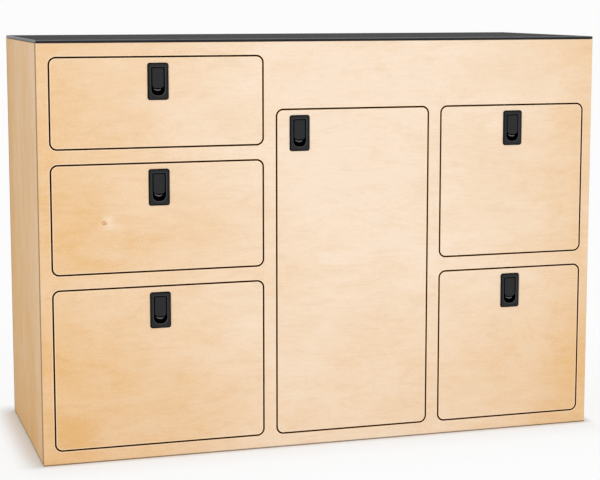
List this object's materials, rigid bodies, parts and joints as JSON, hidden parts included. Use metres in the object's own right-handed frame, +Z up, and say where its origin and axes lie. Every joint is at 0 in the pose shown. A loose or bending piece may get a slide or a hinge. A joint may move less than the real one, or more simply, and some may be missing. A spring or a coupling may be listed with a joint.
{
  "type": "campervan kitchen pod",
  "caption": "Low birch plywood kitchen cabinet for a campervan, with a thin black worktop, slide-out drawers, a tall cupboard door and flush slam latches.",
  "frame": {"origin": "On the floor, under the middle of the outer box.", "axes": "+X to the right as seen from the front, -Y out of the front, +Z up."},
  "size_m": [1.195, 0.4704, 0.85],
  "materials": {
    "birch_plywood": "pale birch face veneer under a clear matt lacquer, with bare striped plywood edges",
    "drawer_box_plywood": "thinner birch plywood, clear lacquered",
    "worktop_laminate": "black compact laminate, fine matt texture, with a slightly polished edge",
    "latch_plastic": "moulded black nylon with a soft sheen",
    "runner_steel": "zinc plated rolled steel"
  },
  "bodies": {
    "carcass": {"worktop": "worktop_laminate", "front_frame": "birch_plywood", "side_panel_left": "birch_plywood", "side_panel_right": "birch_plywood", "base_panel": "birch_plywood", "back_panel": "birch_plywood", "partition_left": "birch_plywood", "partition_right": "birch_plywood", "cupboard_shelf": "birch_plywood", "pivot_pin_lower": "runner_steel", "pivot_pin_upper": "runner_steel", "runner_cabinet_left_bottom_left": "runner_steel", "runner_cabinet_left_bottom_right": "runner_steel", "runner_cabinet_left_middle_left": "runner_steel", "runner_cabinet_left_middle_right": "runner_steel", "runner_cabinet_left_top_left": "runner_steel", "runner_cabinet_left_top_right": "runner_steel", "runner_cabinet_right_bottom_left": "runner_steel", "runner_cabinet_right_bottom_right": "runner_steel", "runner_cabinet_right_top_left": "runner_steel", "runner_cabinet_right_top_right": "runner_steel"},
    "drawer_left_bottom": {"drawer_front_left_bottom": "birch_plywood", "drawer_box_left_bottom": "drawer_box_plywood", "runner_drawer_left_bottom_left": "runner_steel", "runner_drawer_left_bottom_right": "runner_steel", "latch_housing_left_bottom": "latch_plastic"},
    "drawer_left_middle": {"drawer_front_left_middle": "birch_plywood", "drawer_box_left_middle": "drawer_box_plywood", "runner_drawer_left_middle_left": "runner_steel", "runner_drawer_left_middle_right": "runner_steel", "latch_housing_left_middle": "latch_plastic"},
    "drawer_left_top": {"drawer_front_left_top": "birch_plywood", "drawer_box_left_top": "drawer_box_plywood", "runner_drawer_left_top_left": "runner_steel", "runner_drawer_left_top_right": "runner_steel", "latch_housing_left_top": "latch_plastic"},
    "drawer_right_bottom": {"drawer_front_right_bottom": "birch_plywood", "drawer_box_right_bottom": "drawer_box_plywood", "runner_drawer_right_bottom_left": "runner_steel", "runner_drawer_right_bottom_right": "runner_steel", "latch_housing_right_bottom": "latch_plastic"},
    "drawer_right_top": {"drawer_front_right_top": "birch_plywood", "drawer_box_right_top": "drawer_box_plywood", "runner_drawer_right_top_left": "runner_steel", "runner_drawer_right_top_right": "runner_steel", "latch_housing_right_top": "latch_plastic"},
    "door": {"cupboard_door": "birch_plywood", "latch_housing_door": "latch_plastic"},
    "paddle_left_bottom": {"latch_paddle_left_bottom": "latch_plastic"},
    "bolt_left_bottom": {"latch_bolt_left_bottom": "latch_plastic"},
    "paddle_left_middle": {"latch_paddle_left_middle": "latch_plastic"},
    "bolt_left_middle": {"latch_bolt_left_middle": "latch_plastic"},
    "paddle_left_top": {"latch_paddle_left_top": "latch_plastic"},
    "bolt_left_top": {"latch_bolt_left_top": "latch_plastic"},
    "paddle_right_bottom": {"latch_paddle_right_bottom": "latch_plastic"},
    "bolt_right_bottom": {"latch_bolt_right_bottom": "latch_plastic"},
    "paddle_right_top": {"latch_paddle_right_top": "latch_plastic"},
    "bolt_right_top": {"latch_bolt_right_top": "latch_plastic"},
    "paddle_door": {"latch_paddle_door": "latch_plastic"},
    "bolt_door": {"latch_bolt_door": "latch_plastic"}
  },
  "joints": [
    {"name": "drawer_left_bottom_slide", "type": "slide", "parent": "carcass", "child": "drawer_left_bottom", "axis": [0, -1, 0], "range_m": [0, 0.3]},
    {"name": "drawer_left_middle_slide", "type": "slide", "parent": "carcass", "child": "drawer_left_middle", "axis": [0, -1, 0], "range_m": [0, 0.3]},
    {"name": "drawer_left_top_slide", "type": "slide", "parent": "carcass", "child": "drawer_left_top", "axis": [0, -1, 0], "range_m": [0, 0.3]},
    {"name": "drawer_right_bottom_slide", "type": "slide", "parent": "carcass", "child": "drawer_right_bottom", "axis": [0, -1, 0], "range_m": [0, 0.3]},
    {"name": "drawer_right_top_slide", "type": "slide", "parent": "carcass", "child": "drawer_right_top", "axis": [0, -1, 0], "range_m": [0, 0.3]},
    {"name": "door_swing", "type": "hinge", "parent": "carcass", "child": "door", "pos_m": [0.20063, -0.22525, 0.36755], "axis": [0, 0, 1], "range_deg": [0, 90]},
    {"name": "paddle_pull_left_bottom", "type": "hinge", "parent": "drawer_left_bottom", "child": "paddle_left_bottom", "pos_m": [-0.35635, -0.22825, 0.32963], "axis": [-1, 0, 0], "range_deg": [0, 30.5], "stiffness_Nm_per_rad": 0.05, "springref_deg": -8.59},
    {"name": "bolt_drop_left_bottom", "type": "slide", "parent": "drawer_left_bottom", "child": "bolt_left_bottom", "axis": [0, 0, -1], "range_m": [0, 0.007]},
    {"name": "paddle_pull_left_middle", "type": "hinge", "parent": "drawer_left_middle", "child": "paddle_left_middle", "pos_m": [-0.35635, -0.22825, 0.57933], "axis": [-1, 0, 0], "range_deg": [0, 30.5], "stiffness_Nm_per_rad": 0.05, "springref_deg": -8.59},
    {"name": "bolt_drop_left_middle", "type": "slide", "parent": "drawer_left_middle", "child": "bolt_left_middle", "axis": [0, 0, -1], "range_m": [0, 0.007]},
    {"name": "paddle_pull_left_top", "type": "hinge", "parent": "drawer_left_top", "child": "paddle_left_top", "pos_m": [-0.35635, -0.22825, 0.7908], "axis": [-1, 0, 0], "range_deg": [0, 30.5], "stiffness_Nm_per_rad": 0.05, "springref_deg": -8.59},
    {"name": "bolt_drop_left_top", "type": "slide", "parent": "drawer_left_top", "child": "bolt_left_top", "axis": [0, 0, -1], "range_m": [0, 0.007]},
    {"name": "paddle_pull_right_bottom", "type": "hinge", "parent": "drawer_right_bottom", "child": "paddle_right_bottom", "pos_m": [0.41226, -0.22825, 0.32963], "axis": [-1, 0, 0], "range_deg": [0, 30.5], "stiffness_Nm_per_rad": 0.05, "springref_deg": -8.59},
    {"name": "bolt_drop_right_bottom", "type": "slide", "parent": "drawer_right_bottom", "child": "bolt_right_bottom", "axis": [0, 0, -1], "range_m": [0, 0.007]},
    {"name": "paddle_pull_right_top", "type": "hinge", "parent": "drawer_right_top", "child": "paddle_right_top", "pos_m": [0.41226, -0.22825, 0.6809], "axis": [-1, 0, 0], "range_deg": [0, 30.5], "stiffness_Nm_per_rad": 0.05, "springref_deg": -8.59},
    {"name": "bolt_drop_right_top", "type": "slide", "parent": "drawer_right_top", "child": "bolt_right_top", "axis": [0, 0, -1], "range_m": [0, 0.007]},
    {"name": "paddle_pull_door", "type": "hinge", "parent": "door", "child": "paddle_door", "pos_m": [-0.0623, -0.22825, 0.6809], "axis": [-1, 0, 0], "range_deg": [0, 30.5], "stiffness_Nm_per_rad": 0.05, "springref_deg": -8.59},
    {"name": "bolt_drop_door", "type": "slide", "parent": "door", "child": "bolt_door", "axis": [0, 0, -1], "range_m": [0, 0.007]}
  ],
  "couplings": [
    {"joint": "paddle_pull_left_bottom", "follows": "bolt_drop_left_bottom", "rad_per_m": 74.8},
    {"joint": "paddle_pull_left_middle", "follows": "bolt_drop_left_middle", "rad_per_m": 74.8},
    {"joint": "paddle_pull_left_top", "follows": "bolt_drop_left_top", "rad_per_m": 74.8},
    {"joint": "paddle_pull_right_bottom", "follows": "bolt_drop_right_bottom", "rad_per_m": 74.8},
    {"joint": "paddle_pull_right_top", "follows": "bolt_drop_right_top", "rad_per_m": 74.8},
    {"joint": "paddle_pull_door", "follows": "bolt_drop_door", "rad_per_m": 74.8}
  ]
}
